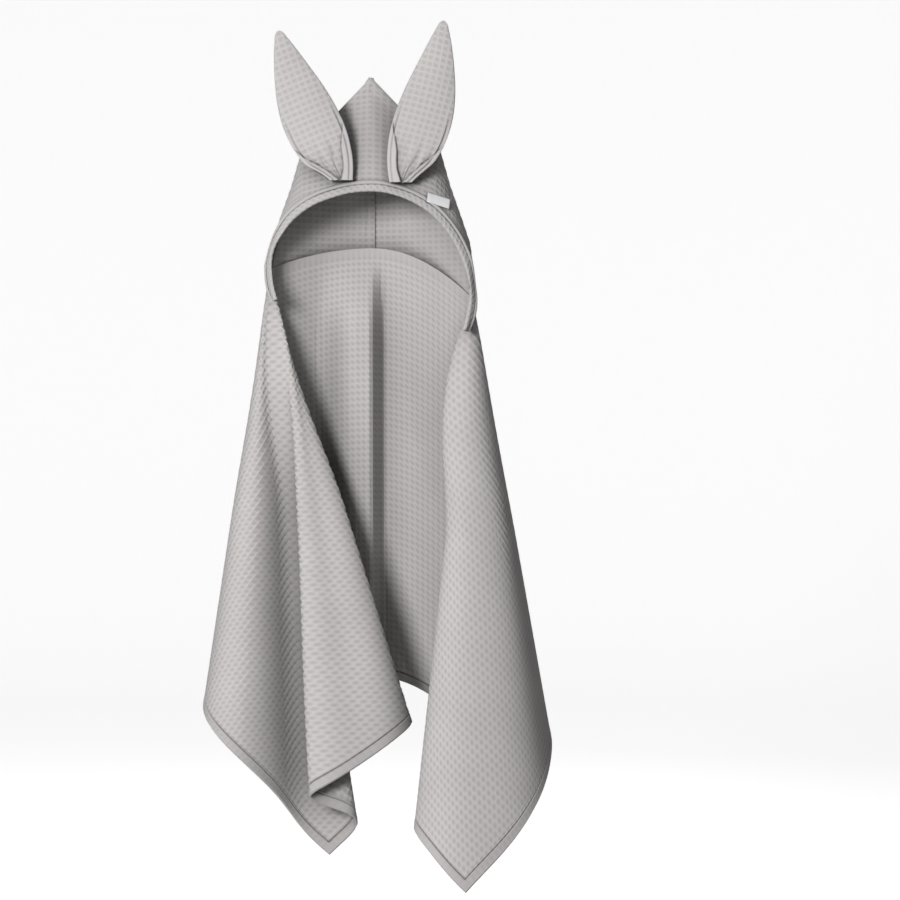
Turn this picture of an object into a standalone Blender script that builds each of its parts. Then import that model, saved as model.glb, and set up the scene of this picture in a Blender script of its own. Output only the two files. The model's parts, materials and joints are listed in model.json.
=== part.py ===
"""Hooded baby towel in waffle cotton, hanging by its hood, with two rabbit ears.

Metres, +Z up, front of the towel towards -Y. The origin is inside the crown of the
hood, where a hook, or the top of a head, holds the towel up.

The towel is cut as a plain rectangle. Its top edge is sewn to the hood over the
neck width; the rest of the sheet hangs from the two ends of that neck seam as two
pleated cones. On such a cone a thread at the flat angle `turn` from the grain runs
straight away from the neck end, so each cone is drawn by the direction in which
that thread hangs: so many degrees sideways and so many degrees backwards.
"""
import math

import bmesh
import bpy
import numpy as np

# ---- cloth ----
CLOTH = 0.0024              # thickness of the waffle cotton
GAP = 0.0003                # clearance between two pieces sewn together
BAND_GAP = 0.0008           # clearance between the face panel and the thicker band

# ---- towel body, as it was cut ----
BODY_WIDTH = 1.30
BODY_DROP = 0.56
NECK_WIDTH = 0.30           # stretch of the top edge that is sewn to the hood

# ---- neck seam as it hangs ----
NECK_HALF_SPAN = 0.130      # half width of the seam, seen from the front
NECK_BACK = 0.050           # how far the middle of the seam lies behind its ends
NECK_MIDDLE_Z = -0.215
NECK_LEFT_Z = -0.245
NECK_RIGHT_Z = -0.283
CONE_START = 0.015          # the free cloth starts this far below the neck end
CONE_START_TURN = 8.0       # degrees over which that start grows from nothing
END_TAPER = 0.10            # the cloth is thinned this close to a neck end
END_THIN = 0.03             # share of the thickness left where the pleats start
PLEATS_START = 0.03         # below this radius the cone is one soft loop
PLEATS_FULL = 0.32          # beyond this radius the pleats have their full depth

# ---- two folds that hang plumb, not straight away from the neck end ----
CENTRE_FOLD = 0.034         # left half of the back stands this far forward
CENTRE_FOLD_LEFT = (-0.085, -0.020)     # flat places across between which it comes forward
CENTRE_FOLD_RIGHT = (-0.005, 0.019)     # and between which it goes back
CENTRE_FOLD_GROWTH = 0.12   # distance below the neck seam over which the fold grows
FLAP_SHIFT = 0.012          # left flap's hidden edge stands this far towards the middle
FLAP_SHIFT_TURN = (33.6, 5.0)           # turn where it does, and the reach either side
FLAP_SHIFT_RADIUS = (0.28, 0.24)        # radius where it does, and the reach either side
FLAP_SHIFT_START = 0.1      # radius over which the shift grows from the neck end

# ---- hood ----
ROOF_RUN = 0.088            # half width at the foot of the two 45 degree roof seams
ROOF_DROP = 0.092
HOOD_END_HALF = NECK_HALF_SPAN + 0.0045
HOOD_END_RISE = 0.006       # hood ends this far above the neck seam's ends
# Sides of the hood below the roof: (share of the way out from the roof's foot to the
# hood's end, drop below the roof's foot).
HOOD_SIDE = ((0.28, 0.047), (0.58, 0.087), (0.817, 0.120))
OPENING_HALF = NECK_HALF_SPAN - 0.0015
OPENING_TOP_Z = -0.151
OPENING_END_RISE = 0.001    # opening ends this far above the neck seam's ends
FACE_FORWARD = 0.050        # how far the opening's top stands in front of the roof seams
FACE_FORWARD_END = 0.024    # the same at the opening's two ends
FACE_SWELL = 0.9            # roundness of the face panel between roof seam and opening
# The two ends of the hood's front hang past the neck seam, in front of the body.
TAIL_SHARE = 0.15           # share of each half's run that hangs past the seam
TAIL_DROP = 0.046
TAIL_IN = 0.0095            # how far it curls back towards the middle
TAIL_FORWARD = 0.014
BACK_BULGE = 0.022
BACK_BULGE_PEAK = 2.0 / 3.0     # share of the way down the back where it swells most
BACK_START = 0.035          # back starts this share of the way down from the peak
BAND_WIDTH = 0.014
BAND_THICK = 0.0044

# ---- ears ----
EAR_LENGTH = {"left": 0.208, "right": 0.214}
EAR_HALF_WIDTH = 0.036
EAR_BASE_HALF = 0.014
# Outline of an ear: (share of its length, share of its greatest half width).
EAR_OUTLINE = ((0.0, EAR_BASE_HALF / EAR_HALF_WIDTH), (0.12, 0.74), (0.25, 0.95), (0.40, 1.0),
               (0.58, 0.87), (0.75, 0.61), (0.90, 0.33), (0.96, 0.20), (0.988, 0.11), (1.0, 0.04))
EAR_PUFF = 0.0030           # how far each layer stands off the ear's middle
EAR_PUFF_SPAN = (0.12, 0.98)    # stretch of a half sine wave that the puff follows
EAR_BASE_X = {"left": -0.034, "right": 0.038}
EAR_LEAN = {"left": -23.0, "right": 15.0}       # degrees from upright, seen from the front
EAR_CURL = {"left": -0.006, "right": 0.007}     # sideways bow of the ear's middle line
EAR_STAND_OFF = 0.0088      # hinge line in front of the band's middle surface
EAR_LIFT = 0.0035           # ear starts this far above its hinge line

# ---- label ----
LABEL_WIDTH = 0.032
LABEL_HEIGHT = 0.014
LABEL_THICK = 0.0008
LABEL_ANGLE = 40.0          # place along the band, degrees from the middle of the arch
LABEL_STEP = 3.6            # degrees along the band that give the label its direction
LABEL_FOOT = 0.05           # label starts this share of its height above the seam
LABEL_GAP = 0.0009          # clearance between the label and the face panel

COTTON = (0.50, 0.478, 0.472)
BAND_COTTON = (0.47, 0.449, 0.444)
LABEL_WHITE = (0.86, 0.86, 0.86)

# Where the threads of each cone hang: (turn, sideways, backwards) in degrees.
LEFT_CONE = (
    (0, 0.0, 3.0), (3, -2.6, 2.2), (6, -1.6, -0.2), (13, 6.2, -0.4), (19.5, 14.2, -1.6),
    (22.0, 17.4, -3.2), (24.5, 16.2, -5.4), (29, 10.8, -6.8), (32, 6.6, -7.6),
    (33.6, 4.8, -6.9), (35.2, 6.2, -5.5), (37, 8.6, -4.8), (38.8, 9.0, -3.2),
    (40.7, 7.2, -2.2), (43.5, 4.2, -1.9), (48, 1.2, -3.6), (53, -2.8, -6.2),
    (58.5, -7.0, -5.0), (63, -8.4, -1.2), (67, -7.4, 2.6), (71, -4.0, 5.6),
    (75.5, 0.2, 7.6), (79, 3.2, 9.2), (81, 3.6, 11.0), (83.5, 1.4, 12.2),
    (90, -4.8, 12.4))
RIGHT_CONE = (
    (0, 0.0, 3.0), (3, 2.6, 2.2), (6.5, 2.2, -0.9), (12, -3.2, -1.4), (15, -4.6, -3.2),
    (18, -2.4, -4.9), (22, 1.6, -4.9), (24, 2.6, -6.4), (26.5, 0.6, -7.7),
    (31, -4.4, -8.2), (33.5, -6.2, -9.9), (36.5, -5.0, -12.0), (40.7, -1.8, -13.0),
    (45.6, 3.2, -11.6), (51, 7.2, -8.6), (57, 9.4, -3.8), (63, 9.9, 1.2),
    (67.5, 8.2, 5.0), (72, 4.6, 7.4), (76.5, 0.4, 9.2), (80, -2.8, 10.8),
    (82.2, -2.8, 12.8), (85, -0.4, 14.0), (90, 4.4, 14.4))
# The same threads close to the neck end, where the cone is one soft loop.
LEFT_LOOP = ((0, 0.0, 3.0), (12, 7.0, -3.0), (25, 13.0, -8.5), (33, 9.0, -11.0),
             (41, -0.5, -8.0), (51, -5.5, -8.0), (62, -7.0, 1.0), (76, -5.0, 9.5),
             (90, -2.0, 16.5))
RIGHT_LOOP = ((0, 0.0, 3.0), (16, -9.0, -6.0), (30, -20.0, -10.0), (44, -6.0, -17.0),
              (61, 9.0, -4.0), (75, 7.5, 10.0), (90, 3.0, 17.0))

# ---- facets ----
CONE_COLUMNS = 46           # round each cone
MIDDLE_COLUMNS = 10         # between the neck ends
BODY_ROWS = 11
ROW_CROWDING = 1.15         # above 1, the body's rows are closer together near the neck
FACE_ROWS = 8
FACE_COLUMNS = 44
BAND_ROWS = 2
BACK_ROWS = 12
BACK_COLUMNS = 7
EAR_ROWS = 18
EAR_COLUMNS = 10
LABEL_ROWS = 2
LABEL_COLUMNS = 4
NORMAL_END = 0.94           # beyond this share of the way the face's normals stay the same
CREASE = 50.0               # degrees between facets that are shaded as an edge
TINY = 1e-4                 # step of the differences that give a surface its normal


def clear_scene():
    for obj in list(bpy.data.objects):
        bpy.data.objects.remove(obj, do_unlink=True)


def material(name, colour, roughness):
    mat = bpy.data.materials.new(name)
    mat.use_nodes = True
    shader = mat.node_tree.nodes["Principled BSDF"]
    shader.inputs["Base Color"].default_value = (*colour, 1.0)
    shader.inputs["Roughness"].default_value = roughness
    shader.inputs["Metallic"].default_value = 0.0
    return mat


def smooth_step(x):
    """0 below 0, 1 above 1, and smooth between."""
    x = np.clip(x, 0.0, 1.0)
    return x * x * (3.0 - 2.0 * x)


def bell(x, middle, reach):
    """Bell curve: 1 at the middle, and 1 over e at the reach to either side."""
    return np.exp(-((x - middle) / reach) ** 2)


def spline(knots, values, x):
    """Natural cubic spline through the rows of values at the knots, read at x."""
    knots = np.asarray(knots, float)
    values = np.asarray(values, float)
    count = len(knots)
    step = np.diff(knots)
    slope = np.diff(values, axis=0) / step[:, None]
    system = np.eye(count)
    right = np.zeros_like(values)
    for i in range(1, count - 1):
        system[i, i - 1:i + 2] = step[i - 1], 2.0 * (step[i - 1] + step[i]), step[i]
        right[i] = 6.0 * (slope[i] - slope[i - 1])
    bend = np.linalg.solve(system, right)
    x = np.asarray(x, float)
    k = np.clip(np.searchsorted(knots, x) - 1, 0, count - 2)
    h = step[k][..., None]
    u = ((x - knots[k])[..., None]) / h
    v = 1.0 - u
    return (v * values[k] + u * values[k + 1]
            + ((v ** 3 - v) * bend[k] + (u ** 3 - u) * bend[k + 1]) * h * h / 6.0)


def grid_normals(points):
    """Unit normals of a grid of points, from the differences along its two ways."""
    down = np.gradient(points, axis=0)
    across = np.gradient(points, axis=1)
    normal = np.cross(across, down)
    length = np.linalg.norm(normal, axis=2, keepdims=True)
    return normal / np.maximum(length, 1e-12)


def sheet_solid(name, points, thickness, mat, normals=None):
    """Closed slab of cloth: the grid of points is its middle surface."""
    if normals is None:
        normals = grid_normals(points)
    half = np.broadcast_to(np.asarray(thickness, float), points.shape[:2])[..., None] / 2.0
    rows, columns = points.shape[:2]
    vertices = np.concatenate([(points + normals * half).reshape(-1, 3),
                               (points - normals * half).reshape(-1, 3)])
    index = np.arange(rows * columns).reshape(rows, columns)
    under = index + rows * columns
    faces = []
    for i in range(rows - 1):
        for j in range(columns - 1):
            a, b, c, d = index[i, j], index[i, j + 1], index[i + 1, j + 1], index[i + 1, j]
            faces.append((a, d, c, b))
            faces.append(tuple(under.flat[k] for k in (a, b, c, d)))
    rim = [*index[0, :-1], *index[:-1, -1], *index[-1, :0:-1], *index[:0:-1, 0]]
    for k, start in enumerate(rim):
        end = rim[(k + 1) % len(rim)]
        faces.append((start, end, under.flat[end], under.flat[start]))
    mesh = bpy.data.meshes.new(name)
    mesh.from_pydata(vertices.tolist(), [], [tuple(int(v) for v in f) for f in faces])
    face_outwards(mesh)
    mesh.shade_smooth()
    mesh.set_sharp_from_angle(angle=math.radians(CREASE))
    mesh.materials.append(mat)
    obj = bpy.data.objects.new(name, mesh)
    bpy.context.scene.collection.objects.link(obj)
    return obj


def face_outwards(mesh):
    """Turns the mesh's faces round if they enclose a negative volume."""
    work = bmesh.new()
    work.from_mesh(mesh)
    if work.calc_volume(signed=True) < 0.0:
        bmesh.ops.reverse_faces(work, faces=work.faces)
    work.to_mesh(mesh)
    work.free()


# ---------------------------------------------------------------- body


def neck_seam(share):
    """Point of the neck seam; share runs from -1 at its left end to 1 at its right."""
    share = np.asarray(share, float)
    end_z = np.where(share < 0.0, NECK_LEFT_Z, NECK_RIGHT_Z)
    return np.stack([NECK_HALF_SPAN * share,
                     NECK_BACK * (1.0 - share ** 2),
                     NECK_MIDDLE_Z + (end_z - NECK_MIDDLE_Z) * share ** 2], axis=-1)


def read_knots(knots, x):
    """Spline through rows whose first number is the place and whose rest is the value."""
    return spline([k[0] for k in knots], [k[1:] for k in knots], x)


def hanging_direction(cone, loop, turn, radius):
    """Unit directions of the threads at these turns, with the pleats grown by radius."""
    full = read_knots(cone, turn)
    soft = read_knots(loop, turn)
    grown = smooth_step((radius - PLEATS_START) / (PLEATS_FULL - PLEATS_START))[..., None]
    tangent = np.tan(np.radians(soft + (full - soft) * grown))
    way = np.concatenate([tangent, -np.ones(tangent.shape[:-1] + (1,))], axis=-1)
    return way / np.linalg.norm(way, axis=-1, keepdims=True)


def centre_fold(a, b):
    """How far the back stands forward at the flat place a across, b down."""
    rise = smooth_step((a - CENTRE_FOLD_LEFT[0]) / (CENTRE_FOLD_LEFT[1] - CENTRE_FOLD_LEFT[0]))
    fall = smooth_step((a - CENTRE_FOLD_RIGHT[0])
                       / (CENTRE_FOLD_RIGHT[1] - CENTRE_FOLD_RIGHT[0]))
    return CENTRE_FOLD * (rise - fall) * smooth_step(b / CENTRE_FOLD_GROWTH)


def flap_shift(turn, radius):
    """How far the left cone is shifted towards the middle, by turn and by radius."""
    return (FLAP_SHIFT * bell(turn, *FLAP_SHIFT_TURN) * bell(radius, *FLAP_SHIFT_RADIUS)
            * smooth_step(radius / FLAP_SHIFT_START))


def edge_radius(turn):
    """Distance from the neck end to the outline of the cut, at this turn."""
    half = BODY_WIDTH / 2.0 - NECK_WIDTH / 2.0
    angle = np.radians(turn)
    return np.minimum(BODY_DROP / np.maximum(np.cos(angle), 1e-6),
                      half / np.maximum(np.sin(angle), 1e-6))


def corner_turn():
    """Turn at which the cut's corner lies, seen from a neck end."""
    return math.degrees(math.atan2(BODY_WIDTH / 2.0 - NECK_WIDTH / 2.0, BODY_DROP))


def cone_turns():
    """Turns of the columns: close together, with one exactly at the cut's corner."""
    corner = corner_turn()
    before = int(round(CONE_COLUMNS * corner / 90.0))
    return np.concatenate([np.linspace(0.0, corner, before + 1)[1:],
                           np.linspace(corner, 90.0, CONE_COLUMNS - before + 1)[1:]])


def cone_grid(cone, loop, end, steps):
    """Points of one cone, a row for each step from the neck end to the outline."""
    turn = cone_turns()
    start = CONE_START * smooth_step(turn / CONE_START_TURN)
    radius = start + (edge_radius(turn) - start) * steps[:, None]
    way = hanging_direction(cone, loop, turn[None, :] + 0.0 * radius, radius)
    return end + radius[..., None] * way


def body_grid():
    """Middle surface of the towel body, from its left top edge round to its right one."""
    steps = np.linspace(0.0, 1.0, BODY_ROWS + 1) ** ROW_CROWDING
    left = cone_grid(LEFT_CONE, LEFT_LOOP, neck_seam(-1.0), steps)
    left[..., 0] += flap_shift(cone_turns()[None, :],
                               np.linalg.norm(left - neck_seam(-1.0), axis=2))
    right = cone_grid(RIGHT_CONE, RIGHT_LOOP, neck_seam(1.0), steps)
    share = np.linspace(-1.0, 1.0, MIDDLE_COLUMNS + 1)
    first = GAP + CLOTH
    radius = first + (BODY_DROP - first) * steps[:, None] + 0.0 * share
    ends = [hanging_direction(cone, loop, np.zeros_like(radius), radius)
            for cone, loop in ((LEFT_CONE, LEFT_LOOP), (RIGHT_CONE, RIGHT_LOOP))]
    mix = ((share + 1.0) / 2.0)[None, :, None]
    way = ends[0] * (1.0 - mix) + ends[1] * mix
    middle = neck_seam(share)[None] + radius[..., None] * way
    middle[..., 1] -= centre_fold(share * NECK_WIDTH / 2.0, radius)
    return np.concatenate([left[:, ::-1], middle, right], axis=1)


def build_body(cotton):
    points = body_grid()
    from_end = np.minimum(np.linalg.norm(points - neck_seam(-1.0), axis=2),
                          np.linalg.norm(points - neck_seam(1.0), axis=2))
    thin = np.clip(from_end / END_TAPER, END_THIN, 1.0)
    sheet_solid("towel_body", points, CLOTH * thin, cotton)


# ---------------------------------------------------------------- hood


def roof_line(share):
    """Outline of the hood seen from the front; share -1 left end, 0 peak, 1 right end."""
    share = np.asarray(share, float)
    halves = []
    for end_z in (NECK_LEFT_Z, NECK_RIGHT_Z):
        side = [(ROOF_RUN + (HOOD_END_HALF - ROOF_RUN) * out, -ROOF_DROP - drop)
                for out, drop in HOOD_SIDE]
        knots = np.array([(0.0, 0.0), (ROOF_RUN, -ROOF_DROP), *side,
                          (HOOD_END_HALF, end_z + HOOD_END_RISE)])
        lengths = np.linalg.norm(np.diff(knots, axis=0), axis=1)
        run = np.concatenate([[0.0], np.cumsum(lengths)])
        along = np.abs(share) * run[-1]
        halves.append((np.interp(along, run, knots[:, 0]), np.interp(along, run, knots[:, 1])))
    x = np.where(share < 0.0, -halves[0][0], halves[1][0])
    z = np.where(share < 0.0, halves[0][1], halves[1][1])
    return np.stack([x, 0.0 * x, z], axis=-1)


def opening_arch(share):
    """Edge of the face opening, half an ellipse; share runs from -1 to 1."""
    angle = np.radians(90.0) * np.asarray(share, float)
    forward = FACE_FORWARD_END + (FACE_FORWARD - FACE_FORWARD_END) * np.cos(angle) ** 2
    end_z = np.where(angle < 0.0, NECK_LEFT_Z, NECK_RIGHT_Z) + OPENING_END_RISE
    return np.stack([OPENING_HALF * np.sin(angle), -forward,
                     end_z + (OPENING_TOP_Z - end_z) * np.cos(angle)], axis=-1)


def with_tail(line, share):
    """The line, run on past both its ends: down, forwards and a little inwards."""
    share = np.asarray(share, float)
    point = line(np.clip(share / (1.0 - TAIL_SHARE), -1.0, 1.0))
    tail = np.clip((np.abs(share) - 1.0 + TAIL_SHARE) / TAIL_SHARE, 0.0, 1.0)
    return point + np.stack([-np.sign(share) * TAIL_IN * tail ** 2,
                             -TAIL_FORWARD * smooth_step(tail), -TAIL_DROP * tail], axis=-1)


def face_surface(share, depth):
    """Front of the hood: depth 0 at the roof seam, 1 at the edge of the opening."""
    outer = with_tail(roof_line, share) - np.array([0.0, CLOTH / 2.0 + GAP, 0.0])
    inner = with_tail(opening_arch, share)
    depth = np.asarray(depth, float)
    point = outer + (inner - outer) * depth[..., None]
    swell = FACE_SWELL * (np.sin(np.radians(90.0) * depth) - depth)
    point[..., 1] -= np.abs(inner[..., 1] - outer[..., 1]) * swell
    return point


def face_normals(share, depth):
    """Unit normals of the face surface, from its differences along its two ways."""
    inside = np.clip(share, -NORMAL_END, NORMAL_END)
    across = face_surface(inside + TINY, depth) - face_surface(inside - TINY, depth)
    down = face_surface(inside, depth + TINY) - face_surface(inside, depth - TINY)
    normal = np.cross(across, down)
    return normal / np.linalg.norm(normal, axis=-1, keepdims=True)


def band_depth(share, width):
    """Depth of the line on the face surface that lies this wide above the opening."""
    across = with_tail(opening_arch, share) - with_tail(roof_line, share)
    return 1.0 - width / np.linalg.norm(across, axis=-1)


def build_face_strip(name, upper, lower, row_count, thickness, mat):
    """Strip of the face surface between two depths, along the whole opening."""
    share = np.linspace(-1.0, 1.0, FACE_COLUMNS + 1)
    rows = np.linspace(0.0, 1.0, row_count + 1)[:, None]
    depth = upper(share) + (lower(share) - upper(share)) * rows
    places = share + 0.0 * rows
    sheet_solid(name, face_surface(places, depth), thickness, mat, face_normals(places, depth))


def build_hood(cotton, band_cotton):
    build_face_strip("hood_front_panel", lambda share: 0.0 * share,
                     lambda share: band_depth(share, BAND_WIDTH + BAND_GAP),
                     FACE_ROWS, CLOTH, cotton)
    build_face_strip("hood_band", lambda share: band_depth(share, BAND_WIDTH),
                     lambda share: 1.0 + 0.0 * share, BAND_ROWS, BAND_THICK, band_cotton)
    for side, name in ((-1.0, "hood_back_left"), (1.0, "hood_back_right")):
        build_hood_back(side, name, cotton)


def build_hood_back(side, name, cotton):
    """Half of the hood's back, from the roof seam to the centre seam and neck seam.

    Straight lines run from the roof seam to the centre seam. The lower ones are drawn
    onto the neck seam, by the cube of their share of the way down, and the back swells
    outwards by a sine wave each way.
    """
    down = np.linspace(BACK_START, 1.0, BACK_ROWS + 1)[:, None]
    across = np.linspace(0.0, 1.0, BACK_COLUMNS + 1)[None, :]
    outer = roof_line(side * down + 0.0 * across) + np.array([0.0, CLOTH / 2.0 + GAP, 0.0])
    seam = neck_seam(side * (1.0 - across) + 0.0 * down)
    top = roof_line(np.array(side * BACK_START)) * np.array([0.0, 1.0, 1.0])
    foot = neck_seam(0.0)
    centre = top + (foot - top) * ((down - BACK_START) / (1.0 - BACK_START))[..., None]
    point = outer + (centre - outer) * across[..., None]
    straight = outer[-1, 0] + (foot - outer[-1, 0]) * across[..., None]
    drawn = (down ** 3 * (across > 0.0))[..., None]
    point = point + (seam - straight) * drawn
    swell = np.sin(np.pi / 2.0 * down / BACK_BULGE_PEAK) * np.sin(np.pi / 2.0 * across)
    point[..., 1] += BACK_BULGE * swell + CLOTH / 2.0
    point[..., 0] += side * (GAP / 2.0) * (across ** 8)
    normals = grid_normals(point)
    normals[:, -1, 0] = 0.0
    normals[:, -1] /= np.linalg.norm(normals[:, -1], axis=1, keepdims=True)
    sheet_solid(name, point, CLOTH, cotton, normals)


# ---------------------------------------------------------------- ears and label


def ear_half_width(t):
    """Half width of the leaf-shaped ear at t, 0 at its base and 1 at its tip."""
    return EAR_HALF_WIDTH * read_knots(EAR_OUTLINE, t)[..., 0]


def hinge_point(side):
    """Middle of the line on which an ear is sewn into the band's upper seam."""
    angle = np.degrees(np.arcsin(EAR_BASE_X[side] / OPENING_HALF))
    share = angle / 90.0 * (1.0 - TAIL_SHARE)
    seam = face_surface(share, band_depth(share, BAND_WIDTH))
    return np.array([EAR_BASE_X[side], seam[1] - EAR_STAND_OFF, seam[2]])


def build_ear(side, cotton):
    """Front and back layer of one ear, which swell apart between their edges."""
    hinge = hinge_point(side)
    lean = math.radians(EAR_LEAN[side])
    up = np.array([math.sin(lean), 0.0, math.cos(lean)])
    out = np.array([math.cos(lean), 0.0, -math.sin(lean)])
    t = np.linspace(0.0, 1.0, EAR_ROWS + 1)[:, None]
    u = np.linspace(-1.0, 1.0, EAR_COLUMNS + 1)[None, :]
    width = ear_half_width(t)
    bow = 4.0 * t * (1.0 - t) * EAR_CURL[side]
    middle = (hinge + up * (EAR_LIFT + t * (EAR_LENGTH[side] - EAR_LIFT))[..., None]
              + out * (bow + width * u)[..., None])
    first, last = EAR_PUFF_SPAN
    swell = np.sqrt(1.0 - u ** 2) * np.sin(np.pi * (first + (last - first) * t))
    puff = CLOTH / 2.0 + GAP / 2.0 + EAR_PUFF * swell
    straight = np.broadcast_to([0.0, 1.0, 0.0], middle.shape)
    for name, way in (("front", -1.0), ("back", 1.0)):
        layer = middle.copy()
        layer[..., 1] += way * puff
        sheet_solid(f"{side}_ear_{name}", layer, CLOTH, cotton, straight)


def build_label(white):
    """Flat tape label that stands on the band's upper seam."""
    share = LABEL_ANGLE / 90.0 * (1.0 - TAIL_SHARE)
    next_share = (LABEL_ANGLE + LABEL_STEP) / 90.0 * (1.0 - TAIL_SHARE)
    seam = face_surface(share, band_depth(share, BAND_WIDTH))
    above = face_surface(share, band_depth(share, BAND_WIDTH + LABEL_HEIGHT))
    beside = face_surface(next_share, band_depth(next_share, BAND_WIDTH))
    up = (above - seam) / np.linalg.norm(above - seam)
    along = beside - seam
    along -= up * along.dot(up)
    along /= np.linalg.norm(along)
    out = np.cross(along, up)
    lift = CLOTH / 2.0 + LABEL_THICK / 2.0 + LABEL_GAP
    u = np.linspace(-0.5, 0.5, LABEL_COLUMNS + 1)[None, :, None]
    v = np.linspace(LABEL_FOOT, 1.0, LABEL_ROWS + 1)[:, None, None]
    points = seam + out * lift + along * u * LABEL_WIDTH + up * v * LABEL_HEIGHT
    sheet_solid("woven_label", points, LABEL_THICK, white)


clear_scene()
waffle = material("waffle_cotton", COTTON, 0.92)
strip = material("band_cotton", BAND_COTTON, 0.92)
build_body(waffle)
build_hood(waffle, strip)
for ear_side in ("left", "right"):
    build_ear(ear_side, waffle)
build_label(material("woven_white_tape", LABEL_WHITE, 0.6))
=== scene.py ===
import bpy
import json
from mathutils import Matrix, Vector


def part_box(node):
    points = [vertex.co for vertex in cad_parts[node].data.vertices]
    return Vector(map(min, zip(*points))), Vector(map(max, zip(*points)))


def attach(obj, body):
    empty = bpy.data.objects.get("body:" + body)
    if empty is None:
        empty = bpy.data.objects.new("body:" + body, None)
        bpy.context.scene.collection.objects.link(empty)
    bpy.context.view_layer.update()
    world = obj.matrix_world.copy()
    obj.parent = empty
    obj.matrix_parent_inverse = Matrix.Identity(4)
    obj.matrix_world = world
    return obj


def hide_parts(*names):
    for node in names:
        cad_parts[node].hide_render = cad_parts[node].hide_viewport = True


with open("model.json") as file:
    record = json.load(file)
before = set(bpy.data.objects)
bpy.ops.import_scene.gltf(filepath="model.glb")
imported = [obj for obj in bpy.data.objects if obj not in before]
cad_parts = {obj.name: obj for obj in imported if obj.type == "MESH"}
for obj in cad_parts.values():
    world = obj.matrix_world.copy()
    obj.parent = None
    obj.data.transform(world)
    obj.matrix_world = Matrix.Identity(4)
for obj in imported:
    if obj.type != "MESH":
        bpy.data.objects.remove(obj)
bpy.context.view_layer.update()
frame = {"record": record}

import json
import math

import bpy
import numpy as np
from bpy.props import FloatProperty, FloatVectorProperty, PointerProperty

bl_info = {
    "name": "Hooded towel with rabbit ears",
    "version": (1, 0, 0),
    "blender": (4, 5, 0),
    "location": "3D View > Sidebar > Towel",
    "description": "Builds a waffle cotton hooded towel hanging by its hood",
    "category": "Add Mesh",
}

# Where the threads of each side of the body hang, away from the end of the neck seam:
# (turn from the straight grain, degrees sideways, degrees backwards).
LEFT_CONE = (
    (0, 0.0, 3.0), (3, -2.6, 2.2), (6, -1.6, -0.2), (13, 6.2, -0.4), (19.5, 14.2, -1.6),
    (22.0, 17.4, -3.2), (24.5, 16.2, -5.4), (29, 10.8, -6.8), (32, 6.6, -7.6),
    (33.6, 4.8, -6.9), (35.2, 6.2, -5.5), (37, 8.6, -4.8), (38.8, 9.0, -3.2),
    (40.7, 7.2, -2.2), (43.5, 4.2, -1.9), (48, 1.2, -3.6), (53, -2.8, -6.2),
    (58.5, -7.0, -5.0), (63, -8.4, -1.2), (67, -7.4, 2.6), (71, -4.0, 5.6),
    (75.5, 0.2, 7.6), (79, 3.2, 9.2), (81, 3.6, 11.0), (83.5, 1.4, 12.2),
    (90, -4.8, 12.4))
RIGHT_CONE = (
    (0, 0.0, 3.0), (3, 2.6, 2.2), (6.5, 2.2, -0.9), (12, -3.2, -1.4), (15, -4.6, -3.2),
    (18, -2.4, -4.9), (22, 1.6, -4.9), (24, 2.6, -6.4), (26.5, 0.6, -7.7),
    (31, -4.4, -8.2), (33.5, -6.2, -9.9), (36.5, -5.0, -12.0), (40.7, -1.8, -13.0),
    (45.6, 3.2, -11.6), (51, 7.2, -8.6), (57, 9.4, -3.8), (63, 9.9, 1.2),
    (67.5, 8.2, 5.0), (72, 4.6, 7.4), (76.5, 0.4, 9.2), (80, -2.8, 10.8),
    (82.2, -2.8, 12.8), (85, -0.4, 14.0), (90, 4.4, 14.4))
# The same threads close to the neck end, where the cone is one soft loop.
LEFT_LOOP = ((0, 0.0, 3.0), (12, 7.0, -3.0), (25, 13.0, -8.5), (33, 9.0, -11.0),
             (41, -0.5, -8.0), (51, -5.5, -8.0), (62, -7.0, 1.0), (76, -5.0, 9.5),
             (90, -2.0, 16.5))
RIGHT_LOOP = ((0, 0.0, 3.0), (16, -9.0, -6.0), (30, -20.0, -10.0), (44, -6.0, -17.0),
              (61, 9.0, -4.0), (75, 7.5, 10.0), (90, 3.0, 17.0))
# Sides of the hood below the roof: (share of the way out from the roof's foot to the
# hood's end, drop below the roof's foot).
HOOD_SIDE = ((0.28, 0.047), (0.58, 0.087), (0.817, 0.120))
# The centre fold comes forward between the first two flat places across, goes back
# between the last two, and grows over this distance below the neck seam.
FOLD_LEFT = (-0.085, -0.020)
FOLD_RIGHT = (-0.005, 0.019)
FOLD_GROWTH = 0.12
# The left flap is shifted about this turn and radius, with a reach either side of each.
SHIFT_TURN = (33.6, 5.0)
SHIFT_RADIUS = (0.28, 0.24)
SHIFT_GROWTH = 0.1
# The hem's stitches run this far inside its inner edge.
HEM_STITCH = 0.0018
# The label's tape: width, height and the share of the height hidden in the seam.
LABEL_WIDTH = 0.032
LABEL_HEIGHT = 0.014
LABEL_HIDDEN = 0.08
# The hood's back starts this share of the way down from the peak.
PEAK_START = 0.004
# An ear's cloth starts this far above its hinge.
EAR_LIFT = 0.0035
# Outline of an ear: (share of its length, share of its greatest half width).
EAR_OUTLINE = ((0.12, 0.74), (0.25, 0.95), (0.40, 1.0), (0.58, 0.87), (0.75, 0.61),
               (0.90, 0.33), (0.96, 0.20), (0.988, 0.11), (1.0, 0.03))


# ---------------------------------------------------------------- settings


def length(name, description, default):
    return FloatProperty(name=name, description=description, default=default,
                         unit="LENGTH", precision=5)


def colour(name, description, default):
    return FloatVectorProperty(name=name, description=description, default=default,
                               size=3, subtype="COLOR", min=0.0, max=1.0)


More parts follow.
